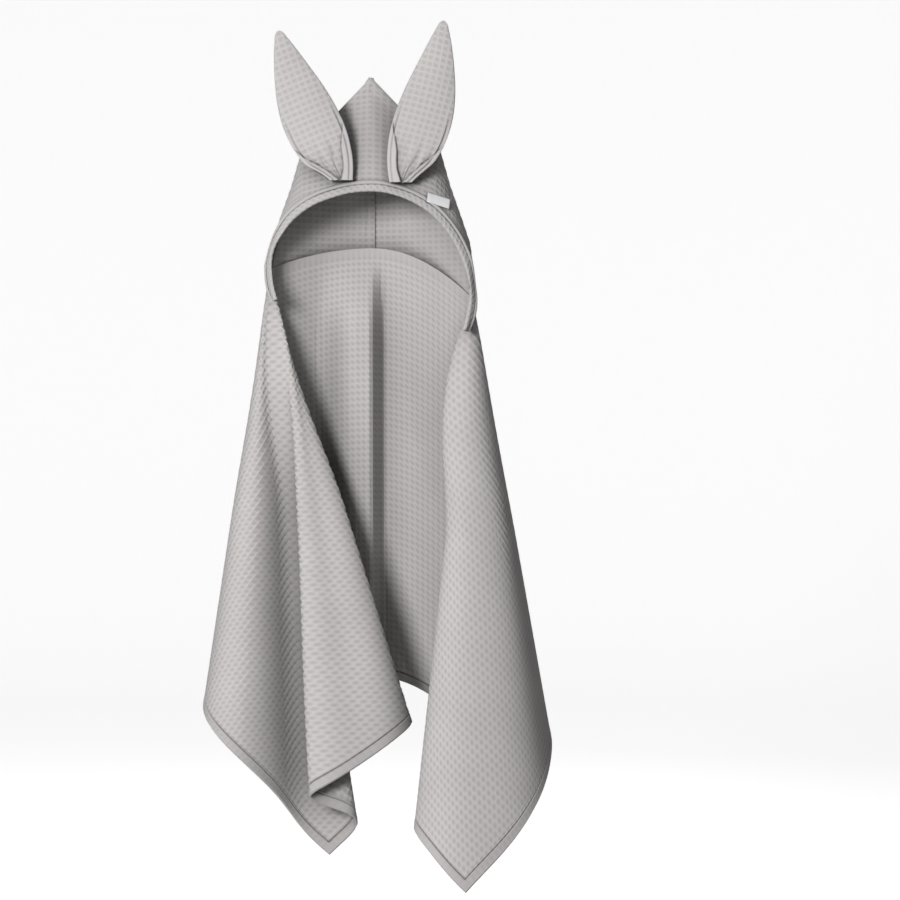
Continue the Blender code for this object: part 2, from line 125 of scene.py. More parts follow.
class ClothSettings(bpy.types.PropertyGroup):
    """The waffle cotton itself."""
    pitch: length("Cell pitch", "Width of one waffle cell", 0.008)
    relief: length("Relief", "Height of the waffle ridges on each face", 0.00105)
    core: length("Core", "Half thickness of the cloth at the bottom of a cell", 0.00035)
    hem: length("Hem", "Width of the turned hem", 0.0135)
    hem_lift: length("Hem lift", "Extra thickness of the turned hem on each face", 0.0008)
    light: colour("Ridge colour", "Colour of the waffle ridges", (0.545, 0.523, 0.517))
    # The cell colour is painted shade: the material mixes it in towards the bottom of each waffle
    # cell, where shade falls between the ridges.
    painted_cell_shade: colour("Cell colour", "Colour at the bottom of the cells", (0.41, 0.392, 0.386))
    thread: colour("Thread", "Colour of the sewing thread", (0.47, 0.452, 0.446))


class BodySettings(bpy.types.PropertyGroup):
    """The rectangle that hangs from the hood."""
    width: length("Width", "Width of the cut", 1.30)
    drop: length("Drop", "Length of the cut, from the neck seam to the hem", 0.56)
    neck: length("Neck width", "Stretch of the top edge sewn to the hood", 0.30)
    half_span: length("Neck half span", "Half width of the hanging neck seam", 0.130)
    back: length("Neck back", "How far the seam's middle lies behind its ends", 0.050)
    middle_z: length("Neck middle", "Height of the seam's middle", -0.215)
    left_z: length("Neck left", "Height of the seam's left end", -0.245)
    right_z: length("Neck right", "Height of the seam's right end", -0.283)
    pleats_start: length("Pleats start", "Radius at which the side pleats begin", 0.03)
    pleats_full: length("Pleats full", "Radius at which they have their full depth", 0.32)
    fold: length("Centre fold", "How far the left half of the back stands forward", 0.034)
    flap_shift: length("Flap shift", "Left flap's hidden edge, towards the middle", 0.012)


class HoodSettings(bpy.types.PropertyGroup):
    """The pointed hood and the band round its opening."""
    roof_run: length("Roof run", "Half width at the foot of the two roof seams", 0.088)
    roof_drop: length("Roof drop", "Height of the two roof seams", 0.092)
    end_half: length("End half width", "Half width of the hood at its ends", 0.1345)
    end_rise: length("End rise", "Height of the hood's ends above the neck seam", 0.006)
    opening_half: length("Opening half width", "Half width of the face opening", 0.1285)
    opening_top: length("Opening top", "Height of the top of the face opening", -0.151)
    opening_rise: length("Opening rise", "Height of its ends above the neck seam", 0.001)
    forward: length("Forward", "How far the opening stands in front", 0.050)
    forward_end: length("Forward at the ends", "The same at the opening's ends", 0.024)
    tail_drop: length("Tail drop", "How far the front's ends hang past the seam", 0.046)
    tail_in: length("Tail curl", "How far those ends curl towards the middle", 0.0095)
    tail_forward: length("Tail forward", "How far they come forward", 0.014)
    tail_share: FloatProperty(name="Tail share", default=0.15,
                              description="Share of each half that hangs past the seam")
    soften: FloatProperty(name="Peak softening", default=0.35,
                          description="How much the front's centre line is rounded off")
    soften_width: length("Softened width", "Half width of the rounded centre", 0.022)
    bulge: length("Back bulge", "How far the hood's back swells", 0.022)
    band: length("Band width", "Width of the band round the opening", 0.014)
    band_thick: length("Band thickness", "Thickness of the folded band", 0.0046)
    tuck: length("Seam allowance", "Width of the centre seam's allowance inside", 0.008)


class EarSettings(bpy.types.PropertyGroup):
    """The two rabbit ears."""
    left_length: length("Left length", "Length of the left ear", 0.208)
    right_length: length("Right length", "Length of the right ear", 0.214)
    half_width: length("Half width", "Half of an ear's greatest width", 0.036)
    base_half: length("Base half width", "Half of the width at its foot", 0.014)
    puff: length("Puff", "How far each layer stands off the ear's middle", 0.0030)
    rim: length("Rim", "Width of the flat topstitched rim", 0.0055)
    pleat: length("Pleat depth", "Depth of the gathers at the foot", 0.0042)
    strip: length("Folded strip", "Width of the edge folded over at the foot", 0.0125)


class StageSettings(bpy.types.PropertyGroup):
    """Floor, light and camera."""
    floor_z: length("Floor", "Height of the floor", -1.30)
    camera_x: length("Camera across", "Camera place across", 0.101)
    camera_z: length("Camera height", "Camera height", -0.477)
    distance: length("Camera distance", "Camera in front of the towel", 3.2)
    lens: FloatProperty(name="Lens", description="Focal length in millimetres", default=100.0)
    key: FloatProperty(name="Key light", description="Power of the key light in watts",
                       default=112.0)
    fill: FloatProperty(name="Fill light", description="Power of the fill light in watts",
                        default=10.0)


# ---------------------------------------------------------------- curves and grids


def smooth_step(x):
    """0 below 0, 1 above 1, and 3 x squared less 2 x cubed between."""
    x = np.clip(x, 0.0, 1.0)
    return x * x * (3.0 - 2.0 * x)


def bell(x, width):
    """Bell curve: e to the minus x over width, squared."""
    return np.exp(-(x / width) ** 2)


def spline(knots, values, x):
    """Natural cubic spline through the rows of values at the knots, read at x."""
    knots = np.asarray(knots, float)
    values = np.asarray(values, float)
    count = len(knots)
    step = np.diff(knots)
    slope = np.diff(values, axis=0) / step[:, None]
    system = np.eye(count)
    right = np.zeros_like(values)
    for i in range(1, count - 1):
        system[i, i - 1:i + 2] = step[i - 1], 2.0 * (step[i - 1] + step[i]), step[i]
        right[i] = 6.0 * (slope[i] - slope[i - 1])
    bend = np.linalg.solve(system, right)
    x = np.asarray(x, float)
    k = np.clip(np.searchsorted(knots, x) - 1, 0, count - 2)
    h = step[k][..., None]
    u = ((x - knots[k])[..., None]) / h
    v = 1.0 - u
    return (v * values[k] + u * values[k + 1]
            + ((v ** 3 - v) * bend[k] + (u ** 3 - u) * bend[k + 1]) * h * h / 6.0)


def unit(vectors):
    """Each vector over its own length."""
    size = np.linalg.norm(vectors, axis=-1, keepdims=True)
    return vectors / np.maximum(size, 1e-12)


def grid_normals(points):
    """Normals of a grid: the step down a column crossed with the step along a row."""
    return unit(np.cross(np.gradient(points, axis=0), np.gradient(points, axis=1)))


def waffle(u, v, pitch):
    """Height of the waffle, 0 at the bottom of a cell and 1 on its ridges.

    Each way, a triangle wave is 1 on the ridge lines and 0 midway between them. The
    height is the larger of the two waves, which leaves an inverted pyramid, and the
    ridges that run down the cloth are a little lower than those across it.
    """
    down = np.abs(2.0 * np.mod(u / pitch, 1.0) - 1.0)
    across = np.abs(2.0 * np.mod(v / pitch, 1.0) - 1.0)
    return np.maximum(0.82 * down, across)


def ripple(u, v, seed, size):
    """Soft uneven ripples between -1 and 1: five sine waves in mixed directions."""
    rng = np.random.default_rng(seed)
    total = np.zeros(np.broadcast(u, v).shape)
    for wave in range(5):
        angle = rng.uniform(0.0, math.tau)
        phase = rng.uniform(0.0, math.tau)
        reach = size * rng.uniform(0.7, 1.6)
        total += np.sin((u * math.cos(angle) + v * math.sin(angle)) * math.tau / reach + phase)
    return total / 5.0


# ---------------------------------------------------------------- meshes


def grid_quads(rows, columns, offset=0, round_rows=False):
    """Corner numbers of a grid's quads, facing down crossed with across."""
    index = np.arange(rows * columns).reshape(rows, columns) + offset
    if round_rows:
        index = np.concatenate([index, index[:, :1]], axis=1)
    return np.stack([index[:-1, :-1], index[1:, :-1], index[1:, 1:], index[:-1, 1:]],
                    axis=-1).reshape(-1, 4)


def make_piece(name, vertices, quads, mat, flat=None, relief=None, sharp=35.0):
    """A mesh object at the origin, with the cloth's flat place as its UV map."""
    vertices = np.asarray(vertices, float).reshape(-1, 3)
    quads = np.asarray(quads, int)
    corners = vertices[quads]
    volume = np.einsum("ij,ij->i", corners[:, 0], np.cross(corners[:, 1], corners[:, 2])).sum()
    volume += np.einsum("ij,ij->i", corners[:, 0], np.cross(corners[:, 2], corners[:, 3])).sum()
    if volume < 0.0:
        quads = quads[:, ::-1]
    mesh = bpy.data.meshes.new(name)
    mesh.vertices.add(len(vertices))
    mesh.vertices.foreach_set("co", vertices.astype(np.float32).ravel())
    mesh.loops.add(quads.size)
    mesh.loops.foreach_set("vertex_index", quads.astype(np.int32).ravel())
    mesh.polygons.add(len(quads))
    mesh.polygons.foreach_set("loop_start", np.arange(0, quads.size, 4, dtype=np.int32))
    mesh.update(calc_edges=True)
    if flat is not None:
        uv = mesh.uv_layers.new(name="cloth")
        uv.data.foreach_set("uv", np.asarray(flat, np.float32).reshape(-1, 2)[quads.ravel()].ravel())
    # The relief attribute is the mask of the painted cell shade: high on the waffle ridges and low
    # at the bottom of the cells.
    if relief is not None:
        layer = mesh.attributes.new("relief", "FLOAT", "POINT")
        layer.data.foreach_set("value", np.asarray(relief, np.float32).ravel())
    mesh.validate()
    mesh.shade_smooth()
    if sharp < 180.0:
        mesh.set_sharp_from_angle(angle=math.radians(sharp))
    mesh.materials.append(mat)
    obj = bpy.data.objects.new(name, mesh)
    bpy.context.scene.collection.objects.link(obj)
    return obj


def cloth_piece(name, middle, upper, under, flat, relief, mat, normals=None):
    """Closed cloth: the middle surface raised by upper on one face and under on the other."""
    rows, columns = middle.shape[:2]
    if normals is None:
        normals = grid_normals(middle)
    vertices = np.concatenate([(middle + normals * upper[..., None]).reshape(-1, 3),
                               (middle - normals * under[..., None]).reshape(-1, 3)])
    count = rows * columns
    top = grid_quads(rows, columns)
    bottom = grid_quads(rows, columns, count)[:, ::-1]
    index = np.arange(count).reshape(rows, columns)
    rim = np.concatenate([index[0, :-1], index[:-1, -1], index[-1, :0:-1], index[:0:-1, 0]])
    following = np.roll(rim, -1)
    side = np.stack([rim, following, following + count, rim + count], axis=-1)
    quads = np.concatenate([top, bottom, side])
    flat = np.concatenate([flat.reshape(-1, 2)] * 2)
    relief = np.concatenate([relief[0].ravel(), relief[1].ravel()])
    return make_piece(name, vertices, quads, mat, flat, relief, sharp=21.0)


# ---------------------------------------------------------------- shape of the towel


def neck_seam(body, share):
    """Neck seam: level across, a parabola backwards, and a parabola down to each end."""
    share = np.asarray(share, float)
    end_z = np.where(share < 0.0, body.left_z, body.right_z)
    return np.stack([body.half_span * share, body.back * (1.0 - share ** 2),
                     body.middle_z + (end_z - body.middle_z) * share ** 2], axis=-1)


def hanging_direction(body, cone, loop, turn, radius):
    """Unit direction of a thread: the soft loop near the neck end, the pleats further out."""
    full = spline([k[0] for k in cone], [k[1:] for k in cone], turn)
    soft = spline([k[0] for k in loop], [k[1:] for k in loop], turn)
    grown = (radius - body.pleats_start) / (body.pleats_full - body.pleats_start)
    tangent = np.tan(np.radians(soft + (full - soft) * smooth_step(grown)[..., None]))
    return unit(np.concatenate([tangent, -np.ones(tangent.shape[:-1] + (1,))], axis=-1))


def centre_fold(body, a, b):
    """How far the back stands forward: it comes out left of the middle and goes back at it."""
    rise = smooth_step((a - FOLD_LEFT[0]) / (FOLD_LEFT[1] - FOLD_LEFT[0]))
    fall = smooth_step((a - FOLD_RIGHT[0]) / (FOLD_RIGHT[1] - FOLD_RIGHT[0]))
    return body.fold * (rise - fall) * smooth_step(b / FOLD_GROWTH)


def flap_shift(body, turn, radius):
    """How far the left cone is shifted towards the middle, by turn and by radius."""
    about_turn = bell(turn - SHIFT_TURN[0], SHIFT_TURN[1])
    about_radius = bell(radius - SHIFT_RADIUS[0], SHIFT_RADIUS[1])
    return body.flap_shift * about_turn * about_radius * smooth_step(radius / SHIFT_GROWTH)


def body_surface(body, a, b):
    """Hanging place of the flat place (a across, b down).

    Over the neck width it is the neck seam plus b along the hanging direction. Beyond
    it, a and b are turned into an angle and a radius about the neck end, and the place
    is the neck end plus that radius along the direction for that angle. Two folds that
    hang plumb are then added.
    """
    half = body.neck / 2.0
    over = np.maximum(np.abs(a) - half, 0.0)
    turn = np.degrees(np.arctan2(over, np.maximum(b, 1e-9)))
    radius = np.hypot(over, b)
    left = hanging_direction(body, LEFT_CONE, LEFT_LOOP, turn, radius)
    right = hanging_direction(body, RIGHT_CONE, RIGHT_LOOP, turn, radius)
    share = np.clip(a / half, -1.0, 1.0)
    mix = ((share + 1.0) / 2.0)[..., None]
    point = neck_seam(body, share) + radius[..., None] * (left * (1.0 - mix) + right * mix)
    point[..., 0] += flap_shift(body, turn, radius) * (a < 0.0)
    point[..., 1] -= centre_fold(body, a, b)
    return point


def surface_normals(surface, a, b):
    """Normals of a surface function, from small steps down and across."""
    tiny = 2e-4
    across = surface(a + tiny, b) - surface(a - tiny, b)
    down = surface(a, b + tiny) - surface(a, b - tiny)
    return unit(np.cross(down, across))


def roof_line(body, hood, share):
    """Outline of the hood seen from the front, read along its length from the peak."""
    share = np.asarray(share, float)
    halves = []
    for end_z in (body.left_z, body.right_z):
        side = [(hood.roof_run + (hood.end_half - hood.roof_run) * out, -hood.roof_drop - drop)
                for out, drop in HOOD_SIDE]
        knots = np.array([(0.0, 0.0), (hood.roof_run, -hood.roof_drop), *side,
                          (hood.end_half, end_z + hood.end_rise)])
        run = np.linalg.norm(np.diff(knots, axis=0), axis=1)
        run = np.concatenate([[0.0], np.cumsum(run)])
        along = np.abs(share) * run[-1]
        halves.append((np.interp(along, run, knots[:, 0]), np.interp(along, run, knots[:, 1])))
    x = np.where(share < 0.0, -halves[0][0], halves[1][0])
    z = np.where(share < 0.0, halves[0][1], halves[1][1])
    return np.stack([x, 0.0 * x, z], axis=-1)


def opening_arch(body, hood, share):
    """Edge of the face opening: half an ellipse that stands further forward at its top."""
    angle = np.radians(90.0) * np.asarray(share, float)
    forward = hood.forward_end + (hood.forward - hood.forward_end) * np.cos(angle) ** 2
    end_z = np.where(angle < 0.0, body.left_z, body.right_z) + hood.opening_rise
    return np.stack([hood.opening_half * np.sin(angle), -forward,
                     end_z + (hood.opening_top - end_z) * np.cos(angle)], axis=-1)


def with_tail(line, body, hood, share):
    """The line, run on past both its ends: down, forwards and a little inwards."""
    share = np.asarray(share, float)
    kept = 1.0 - hood.tail_share
    point = line(body, hood, np.clip(share / kept, -1.0, 1.0))
    tail = np.clip((np.abs(share) - kept) / hood.tail_share, 0.0, 1.0)
    return point + np.stack([-np.sign(share) * hood.tail_in * tail ** 2,
                             -hood.tail_forward * smooth_step(tail),
                             -hood.tail_drop * tail], axis=-1)


def face_surface(body, hood, share, depth):
    """Front of the hood, from the roof seam at depth 0 to the opening at depth 1."""
    outer = with_tail(roof_line, body, hood, share) - np.array([0.0, 0.0012, 0.0])
    inner = with_tail(opening_arch, body, hood, share)
    share_of = np.asarray(depth, float)[..., None]
    point = outer + (inner - outer) * share_of
    swell = np.sin(np.radians(90.0) * depth) - depth
    point[..., 1] -= np.abs(inner[..., 1] - outer[..., 1]) * swell * 0.9
    return point


def band_depth(body, hood, share, width):
    """Depth at which the face surface is this wide of the opening's edge."""
    across = with_tail(opening_arch, body, hood, share) - with_tail(roof_line, body, hood, share)
    return 1.0 - width / np.linalg.norm(across, axis=-1)


def panel_flat(share, depth):
    """Flat place on the hood's triangular cut: its roof edges run at 45 degrees."""
    side = 0.226 * share
    roof = np.stack([side, np.abs(side)], axis=-1)
    opening = np.stack([0.208 * share, 0.165 + 0.079 * share ** 2], axis=-1)
    return roof + (opening - roof) * np.asarray(depth)[..., None]


# ---------------------------------------------------------------- materials


def add_node(tree, kind, place, **values):
    node = tree.nodes.new(kind)
    node.location = place
    for key, value in values.items():
        setattr(node, key, value)
    return node


def weave_group():
    """Threads and lint of the cotton, as a height and a shade, from the cloth's UV map."""
    name = "cotton_threads"
    if name in bpy.data.node_groups:
        return bpy.data.node_groups[name]
    tree = bpy.data.node_groups.new(name, "ShaderNodeTree")
    face = tree.interface
    face.new_socket("Cloth", in_out="INPUT", socket_type="NodeSocketVector")
    size = face.new_socket("Threads per metre", in_out="INPUT", socket_type="NodeSocketFloat")
    size.default_value = 1100.0
    face.new_socket("Height", in_out="OUTPUT", socket_type="NodeSocketFloat")
    face.new_socket("Shade", in_out="OUTPUT", socket_type="NodeSocketFloat")
    start = add_node(tree, "NodeGroupInput", (-900, 0))
    end = add_node(tree, "NodeGroupOutput", (500, 0))
    scale = add_node(tree, "ShaderNodeVectorMath", (-700, 80), operation="SCALE")
    tree.links.new(start.outputs["Cloth"], scale.inputs[0])
    tree.links.new(start.outputs["Threads per metre"], scale.inputs["Scale"])
    split = add_node(tree, "ShaderNodeSeparateXYZ", (-520, 80))
    tree.links.new(scale.outputs[0], split.inputs[0])
    waves = []
    for axis, y in (("X", 160), ("Y", 0)):
        turn = add_node(tree, "ShaderNodeMath", (-340, y), operation="MULTIPLY")
        turn.inputs[1].default_value = math.tau
        tree.links.new(split.outputs[axis], turn.inputs[0])
        wave = add_node(tree, "ShaderNodeMath", (-180, y), operation="SINE")
        tree.links.new(turn.outputs[0], wave.inputs[0])
        waves.append(wave)
    weave = add_node(tree, "ShaderNodeMath", (0, 80), operation="MULTIPLY")
    tree.links.new(waves[0].outputs[0], weave.inputs[0])
    tree.links.new(waves[1].outputs[0], weave.inputs[1])
    lint = add_node(tree, "ShaderNodeTexNoise", (-340, -220))
    lint.inputs["Scale"].default_value = 900.0
    lint.inputs["Detail"].default_value = 3.0
    lint.inputs["Roughness"].default_value = 0.7
    tree.links.new(start.outputs["Cloth"], lint.inputs["Vector"])
    both = add_node(tree, "ShaderNodeMath", (180, 0), operation="MULTIPLY_ADD")
    both.inputs[1].default_value = 0.35
    tree.links.new(weave.outputs[0], both.inputs[0])
    tree.links.new(lint.outputs["Fac"], both.inputs[2])
    tree.links.new(both.outputs[0], end.inputs["Height"])
    tree.links.new(lint.outputs["Fac"], end.inputs["Shade"])
    return tree


def cotton_material(name, light, painted_cell_shade, uneven=0.06):
    """Cotton: painted shade towards the bottom of each waffle cell and, from ambient occlusion, in
    folds and recesses; mottled, matt with a sheen, threads in relief.
    """
    mat = bpy.data.materials.new(name)
    mat.use_nodes = True
    tree = mat.node_tree
    shader = tree.nodes["Principled BSDF"]
    shader.inputs["Roughness"].default_value = 0.92
    shader.inputs["Specular IOR Level"].default_value = 0.25
    shader.inputs["Sheen Weight"].default_value = 0.22
    shader.inputs["Sheen Roughness"].default_value = 0.45
    cloth = add_node(tree, "ShaderNodeUVMap", (-1300, 0), uv_map="cloth")
    threads = add_node(tree, "ShaderNodeGroup", (-1050, -150), node_tree=weave_group())
    tree.links.new(cloth.outputs["UV"], threads.inputs["Cloth"])
    # Painted shade in the waffle cells: the relief attribute, raised to a power, mixes from the
    # ridge colour on top towards the darker cell colour at the bottom of each cell.
    relief = add_node(tree, "ShaderNodeAttribute", (-1050, 200), attribute_name="relief")
    tint = add_node(tree, "ShaderNodeMix", (-800, 200), data_type="RGBA")
    tint.inputs["A"].default_value = (*painted_cell_shade, 1.0)
    tint.inputs["B"].default_value = (*light, 1.0)
    sharp = add_node(tree, "ShaderNodeMath", (-950, 330), operation="POWER")
    sharp.inputs[1].default_value = 1.6
    tree.links.new(relief.outputs["Fac"], sharp.inputs[0])
    tree.links.new(sharp.outputs[0], tint.inputs["Factor"])
    place = add_node(tree, "ShaderNodeTexCoord", (-1300, -400))
    patch = add_node(tree, "ShaderNodeTexNoise", (-1050, -400))
    patch.inputs["Scale"].default_value = 14.0
    patch.inputs["Detail"].default_value = 2.0
    tree.links.new(place.outputs["Object"], patch.inputs["Vector"])
    blend = add_node(tree, "ShaderNodeMath", (-800, -250), operation="ADD")
    tree.links.new(patch.outputs["Fac"], blend.inputs[0])
    tree.links.new(threads.outputs["Shade"], blend.inputs[1])
    spread = add_node(tree, "ShaderNodeMapRange", (-600, -250))
    spread.inputs["From Min"].default_value = 0.6
    spread.inputs["From Max"].default_value = 1.4
    spread.inputs["To Min"].default_value = 1.0 - uneven
    spread.inputs["To Max"].default_value = 1.0 + uneven
    tree.links.new(blend.outputs[0], spread.inputs["Value"])
    shade = add_node(tree, "ShaderNodeVectorMath", (-380, 120), operation="SCALE")
    tree.links.new(tint.outputs["Result"], shade.inputs[0])
    tree.links.new(spread.outputs["Result"], shade.inputs["Scale"])
    # Painted shade in folds and recesses: the base colour is multiplied by ambient occlusion over 9
    # cm.
    fold_shade_ao = add_node(tree, "ShaderNodeAmbientOcclusion", (-380, 420))
    fold_shade_ao.inputs["Distance"].default_value = 0.09
    fold_shade_power = add_node(tree, "ShaderNodeMath", (-200, 320), operation="POWER")
    fold_shade_power.inputs[1].default_value = 1.1
    tree.links.new(fold_shade_ao.outputs["AO"], fold_shade_power.inputs[0])
    folds = add_node(tree, "ShaderNodeVectorMath", (-200, 120), operation="SCALE")
    tree.links.new(shade.outputs[0], folds.inputs[0])
    tree.links.new(fold_shade_power.outputs[0], folds.inputs["Scale"])
    tree.links.new(folds.outputs[0], shader.inputs["Base Color"])
    bump = add_node(tree, "ShaderNodeBump", (-380, -250))
    bump.inputs["Strength"].default_value = 0.35
    bump.inputs["Distance"].default_value = 0.00035
    tree.links.new(threads.outputs["Height"], bump.inputs["Height"])
    tree.links.new(bump.outputs["Normal"], shader.inputs["Normal"])
    return mat


def plain_material(name, tint, roughness, emission=0.0):
    mat = bpy.data.materials.new(name)
    mat.use_nodes = True
    shader = mat.node_tree.nodes["Principled BSDF"]
    shader.inputs["Base Color"].default_value = (*tint, 1.0)
    shader.inputs["Roughness"].default_value = roughness
    if emission > 0.0:
        shader.inputs["Emission Color"].default_value = (1.0, 1.0, 1.0, 1.0)
        shader.inputs["Emission Strength"].default_value = emission
    return mat


def material(key):
    """The towel's materials, each made once."""
    if key in bpy.data.materials:
        return bpy.data.materials[key]
    cloth = bpy.context.scene.towel_cloth
    # The second colour given to each cotton material is its painted cell shade.
    if key == "waffle_cotton_grey":
        return cotton_material(key, cloth.light, cloth.painted_cell_shade)
    if key == "band_cotton_grey":
        light = [0.97 * c for c in cloth.light]
        return cotton_material(key, light, [0.8 * c for c in light])
    if key == "grey_thread":
        return cotton_material(key, cloth.thread, [0.8 * c for c in cloth.thread], 0.1)
    return cotton_material("white_tape", (0.84, 0.84, 0.85), (0.70, 0.70, 0.72), 0.03)


# ---------------------------------------------------------------- threads


def stitches(name, path, normals, pitch, stitch, radius, mat):
    """Running stitches along a path: each a small rod, arched so that its ends dip in."""
    run = np.linalg.norm(np.diff(path, axis=0), axis=1)
    run = np.concatenate([[0.0], np.cumsum(run)])
    count = int(run[-1] // pitch)
    starts = (np.arange(count) + 0.5) * (run[-1] / count) - stitch / 2.0
    along = np.array([0.0, 0.12, 0.5, 0.88, 1.0])
    girth = np.array([0.25, 0.85, 1.0, 0.85, 0.25]) * radius
    height = np.array([-0.9, 0.2, 0.55, 0.2, -0.9]) * radius
    places = starts[:, None] + along * stitch

    def read(values):
        flat = places.ravel()
        return np.stack([np.interp(flat, run, values[:, k]) for k in range(3)],
                        axis=-1).reshape(count, len(along), 3)

    centre = read(path)
    up = unit(read(normals))
    ahead = unit(np.gradient(centre, axis=1))
    aside = unit(np.cross(ahead, up))
    sides = 4
    angle = np.arange(sides) * math.tau / sides
    ring = (centre[:, :, None] + up[:, :, None] * (height[:, None] + girth[:, None]
                                                   * np.sin(angle))[None, ..., None]
            + aside[:, :, None] * (girth[:, None] * np.cos(angle))[None, ..., None])
    size = len(along) * sides
    caps = np.array([[0, 1, 2, 3], [size - 1, size - 2, size - 3, size - 4]])
    one = np.concatenate([grid_quads(len(along), sides, round_rows=True), caps])
    quads = (one[None] + (np.arange(count) * size)[:, None, None]).reshape(-1, 4)
    vertices = ring.reshape(-1, 3)
    piece = make_piece(name, vertices, quads, mat, np.zeros((len(vertices), 2)),
                       np.ones(len(vertices)), sharp=180.0)
    return piece


# ---------------------------------------------------------------- body


def lattice(low, high, pitch, hem):
    """Grid lines half a cell apart, with closer lines where the hem turns and is sewn."""
    edge = np.array([0.0, 0.0014, 0.0060, hem - 0.0032, hem - HEM_STITCH, hem - 0.0004,
                     hem + 0.0008])
    step = pitch / 2.0
    first = math.ceil((low + edge[-1] + 0.001) / step)
    last = math.floor((high - edge[-1] - 0.001) / step)
    return np.concatenate([low + edge, np.arange(first, last + 1) * step, (high - edge)[::-1]])


def hem_shape(distance, cloth):
    """Share of relief and extra lift for cloth this far from its hemmed edge."""
    turned = 1.0 - smooth_step((distance - (cloth.hem - 0.0004)) / 0.0012)
    sewn = bell(distance - (cloth.hem - HEM_STITCH), 0.0011)
    edge = smooth_step(distance / 0.0016)
    keep = 1.0 - 0.45 * turned
    lift = cloth.hem_lift * turned - (cloth.hem_lift + 0.0006) * sewn
    return keep, lift, edge


class TOWEL_OT_body(bpy.types.Operator):
    """Make the rectangle of waffle cotton as it hangs from the hood, with its hem"""
    bl_idname = "towel.body"
    bl_label = "Towel body"

    def execute(self, context):
        body, cloth = context.scene.towel_body, context.scene.towel_cloth
        a = lattice(-body.width / 2.0, body.width / 2.0, cloth.pitch, cloth.hem)
        b = lattice(0.0, body.drop, cloth.pitch, cloth.hem)
        across, down = np.meshgrid(a, b)
        middle = body_surface(body, across, down)
        normals = grid_normals(middle)
        from_edge = np.minimum(body.width / 2.0 - np.abs(across), body.drop - down)
        free_top = np.clip((np.abs(across) - body.neck / 2.0) / 0.02, 0.0, 1.0)
        from_edge = np.minimum(from_edge, down + (1.0 - free_top))
        keep, lift, edge = hem_shape(from_edge, cloth)
        neck_end = np.hypot(np.abs(across) - body.neck / 2.0, down)
        thin = np.clip(neck_end / 0.06, 0.25, 1.0)
        cell_shade_masks, offsets = [], []
        for shift in (0.0, cloth.pitch / 2.0):
            height = waffle(across + shift, down + shift, cloth.pitch)
            offset = (cloth.core + cloth.relief * (height * keep + 0.30 * (1.0 - keep))
                      + lift) * edge * thin + 0.0001
            # Mask of the painted cell shade: it follows the waffle height, so the bottom of each
            # cell is painted darker, and it is scaled down on the turned hem.
            cell_shade_masks.append(0.25 + 0.75 * height * keep)
            offsets.append(np.maximum(offset, 0.0001))
        flat = np.stack([across, down], axis=-1)
        piece = cloth_piece("towel_body_cloth", middle, offsets[0], offsets[1], flat, cell_shade_masks,
                            material("waffle_cotton_grey"), normals)
        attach(piece, "towel")
        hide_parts("towel_body")
        sewn = self.sew_hem(body, cloth)
        return {"FINISHED"}

    def sew_hem(self, body, cloth):
        """Stitches round the three free edges and along the free stretches of the top."""
        inset = cloth.hem - HEM_STITCH
        half = body.width / 2.0 - inset
        neck = body.neck / 2.0 + 0.03
        corners = np.array([(-neck, inset), (-half, inset), (-half, body.drop - inset),
                            (half, body.drop - inset), (half, inset), (neck, inset)])
        run = np.concatenate([[0.0], np.cumsum(np.linalg.norm(np.diff(corners, axis=0), axis=1))])
        along = np.arange(0.0, run[-1], 0.0012)
        a = np.interp(along, run, corners[:, 0])
        b = np.interp(along, run, corners[:, 1])
        path = body_surface(body, a, b)
        normals = surface_normals(lambda x, y: body_surface(body, x, y), a, b)
        rise = cloth.core + 0.00035
        paths = np.concatenate([path + normals * rise, (path - normals * rise)[::-1]])
        sides = np.concatenate([normals, -normals[::-1]])
        thread = stitches("body_hem_thread", paths, sides, 0.0034, 0.0026, 0.00033,
                          material("grey_thread"))
        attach(thread, "towel")
        return thread


# ---------------------------------------------------------------- hood


